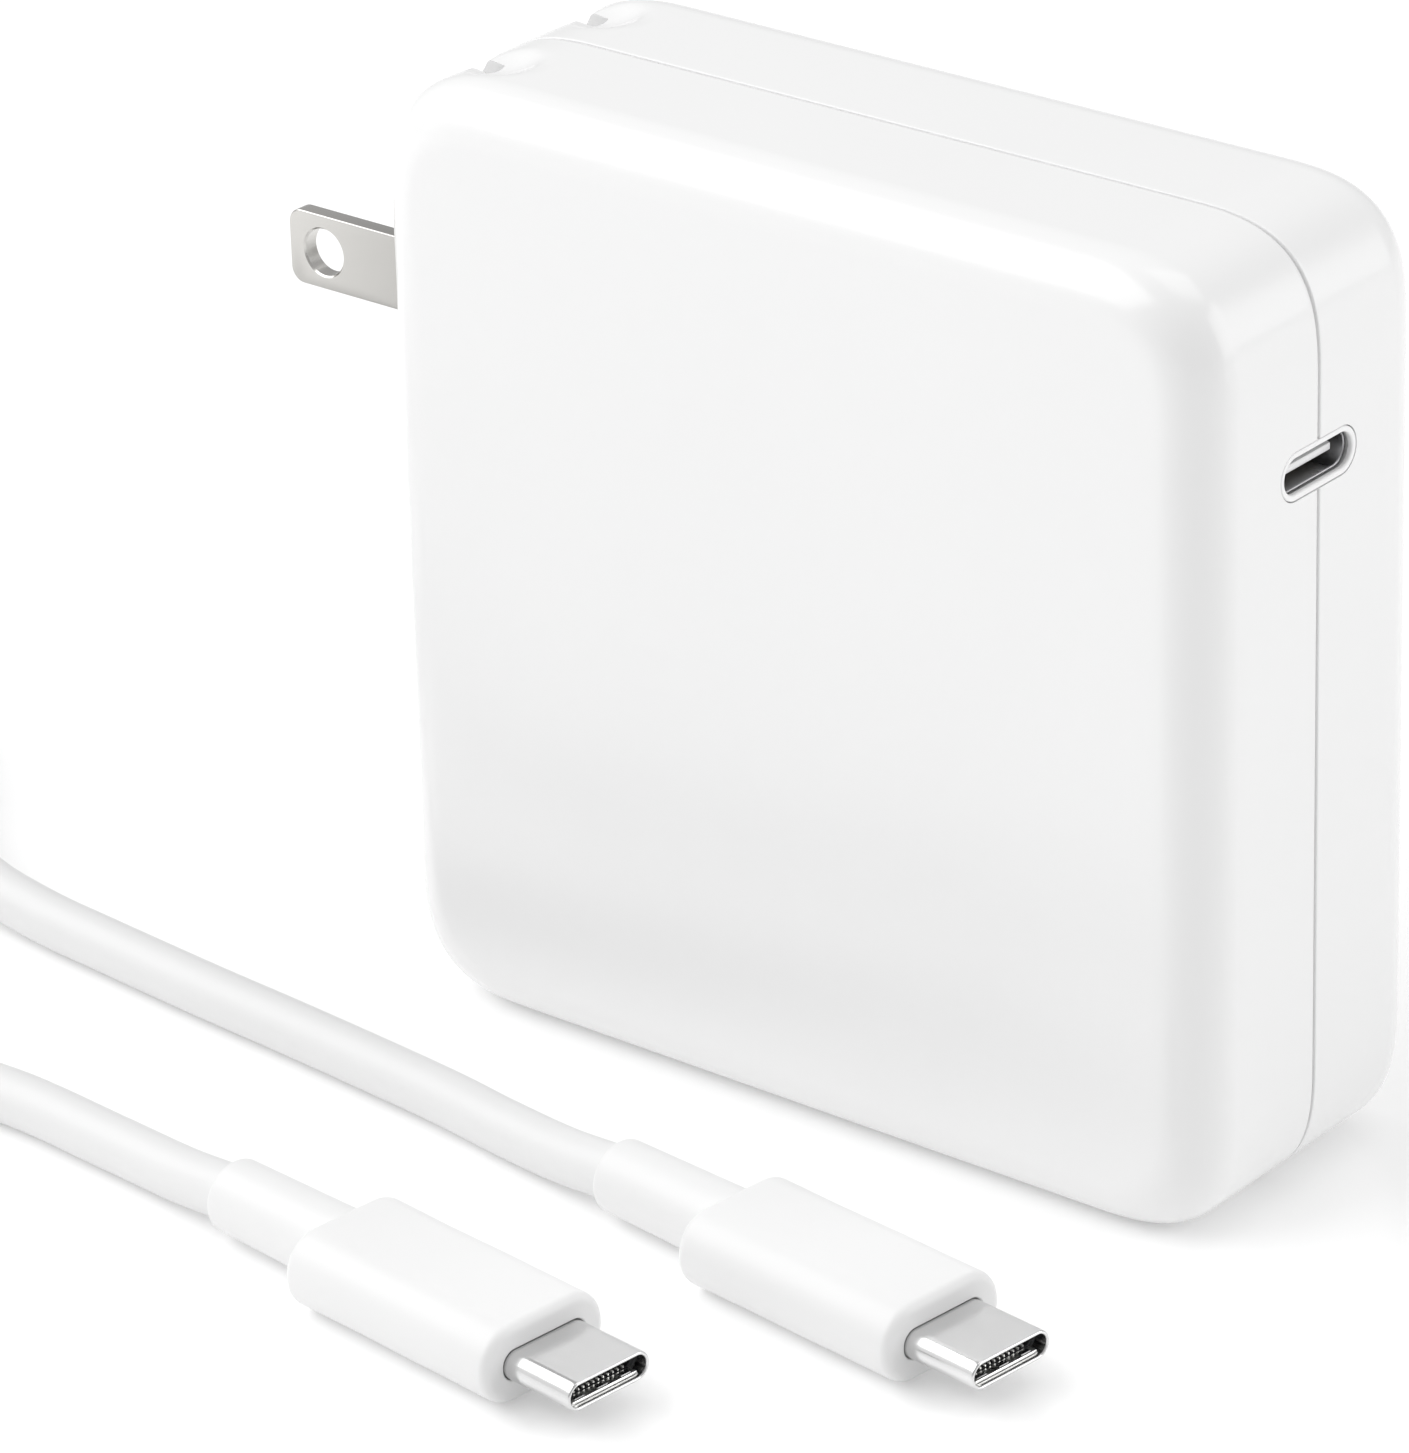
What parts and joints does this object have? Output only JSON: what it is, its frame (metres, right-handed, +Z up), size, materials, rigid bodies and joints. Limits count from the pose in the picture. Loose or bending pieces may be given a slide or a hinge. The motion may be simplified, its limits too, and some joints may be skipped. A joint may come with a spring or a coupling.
{
  "type": "laptop power adapter",
  "caption": "Square white laptop power adapter with folding mains blades, a USB-C port on its edge and a detachable USB-C charging lead.",
  "frame": {"origin": "middle of the adapter's footprint, blades out, on the surface that its thin edge stands on; the loose charging lead isn't counted", "axes": "+X towards the USB-C port edge, -X towards the mains blades, +Y through the thickness, +Z up"},
  "size_m": [0.2107, 0.0932, 0.08],
  "materials": {
    "housing": "smooth semi-gloss white moulding",
    "port_trim": "bright white trim",
    "blade_nickel": "nickel plated, fine brushed",
    "port_steel": "dark drawn steel",
    "plug_steel": "bright drawn steel",
    "rotor": "glass filled nylon",
    "insulator": "matt moulding",
    "plug_insulator": "matt black moulding",
    "contact_brass": "phosphor bronze strip",
    "wire_sleeve": "insulated wire",
    "board": "glass epoxy board",
    "component": "moulded package",
    "capacitor_sleeve": "shrink sleeve",
    "film_capacitor": "moulded case",
    "ferrite": "sintered",
    "winding": "tape wrapped",
    "copper": "enamelled wire",
    "aluminium": "rolled sheet",
    "lead_white": "satin white jacket",
    "tie": "hook and loop strap"
  },
  "bodies": {
    "adapter": {"front_shell": "housing", "back_shell": "housing", "plug_bezel": "housing", "port_ring": "port_trim", "port_shell": "port_steel", "plug_shell_a": "plug_steel", "plug_shell_b": "plug_steel", "plug_keeper": "insulator", "insulation_sheet": "insulator", "port_tongue": "insulator", "fuse": "insulator", "plug_core_a": "plug_insulator", "plug_core_b": "plug_insulator", "spring_live": "contact_brass", "spring_neutral": "contact_brass", "wire_live": "wire_sleeve", "wire_neutral": "wire_sleeve", "main_board": "board", "usb_board": "board", "bridge_rectifier": "component", "switch_transistor": "component", "rectifier_transistor": "component", "bulk_capacitor_1": "capacitor_sleeve", "bulk_capacitor_2": "capacitor_sleeve", "output_capacitor_1": "capacitor_sleeve", "output_capacitor_2": "capacitor_sleeve", "x_capacitor": "film_capacitor", "transformer_core": "ferrite", "line_choke": "ferrite", "transformer_winding": "winding", "output_choke": "copper", "heat_spreader": "aluminium", "cord_a": "lead_white", "cord_b": "lead_white", "cord_coil": "lead_white", "overmold_a": "lead_white", "overmold_b": "lead_white", "strain_relief_a": "lead_white", "strain_relief_b": "lead_white", "cord_tie": "tie"},
    "plug_blades": {"blade_rotor": "rotor", "blade_live": "blade_nickel", "blade_neutral": "blade_nickel"}
  },
  "joints": [
    {"name": "blade_fold", "type": "hinge", "parent": "adapter", "child": "plug_blades", "pos_m": [-0.0285, 0, 0.0596], "axis": [0, 1, 0], "range_deg": [0, 90]}
  ]
}
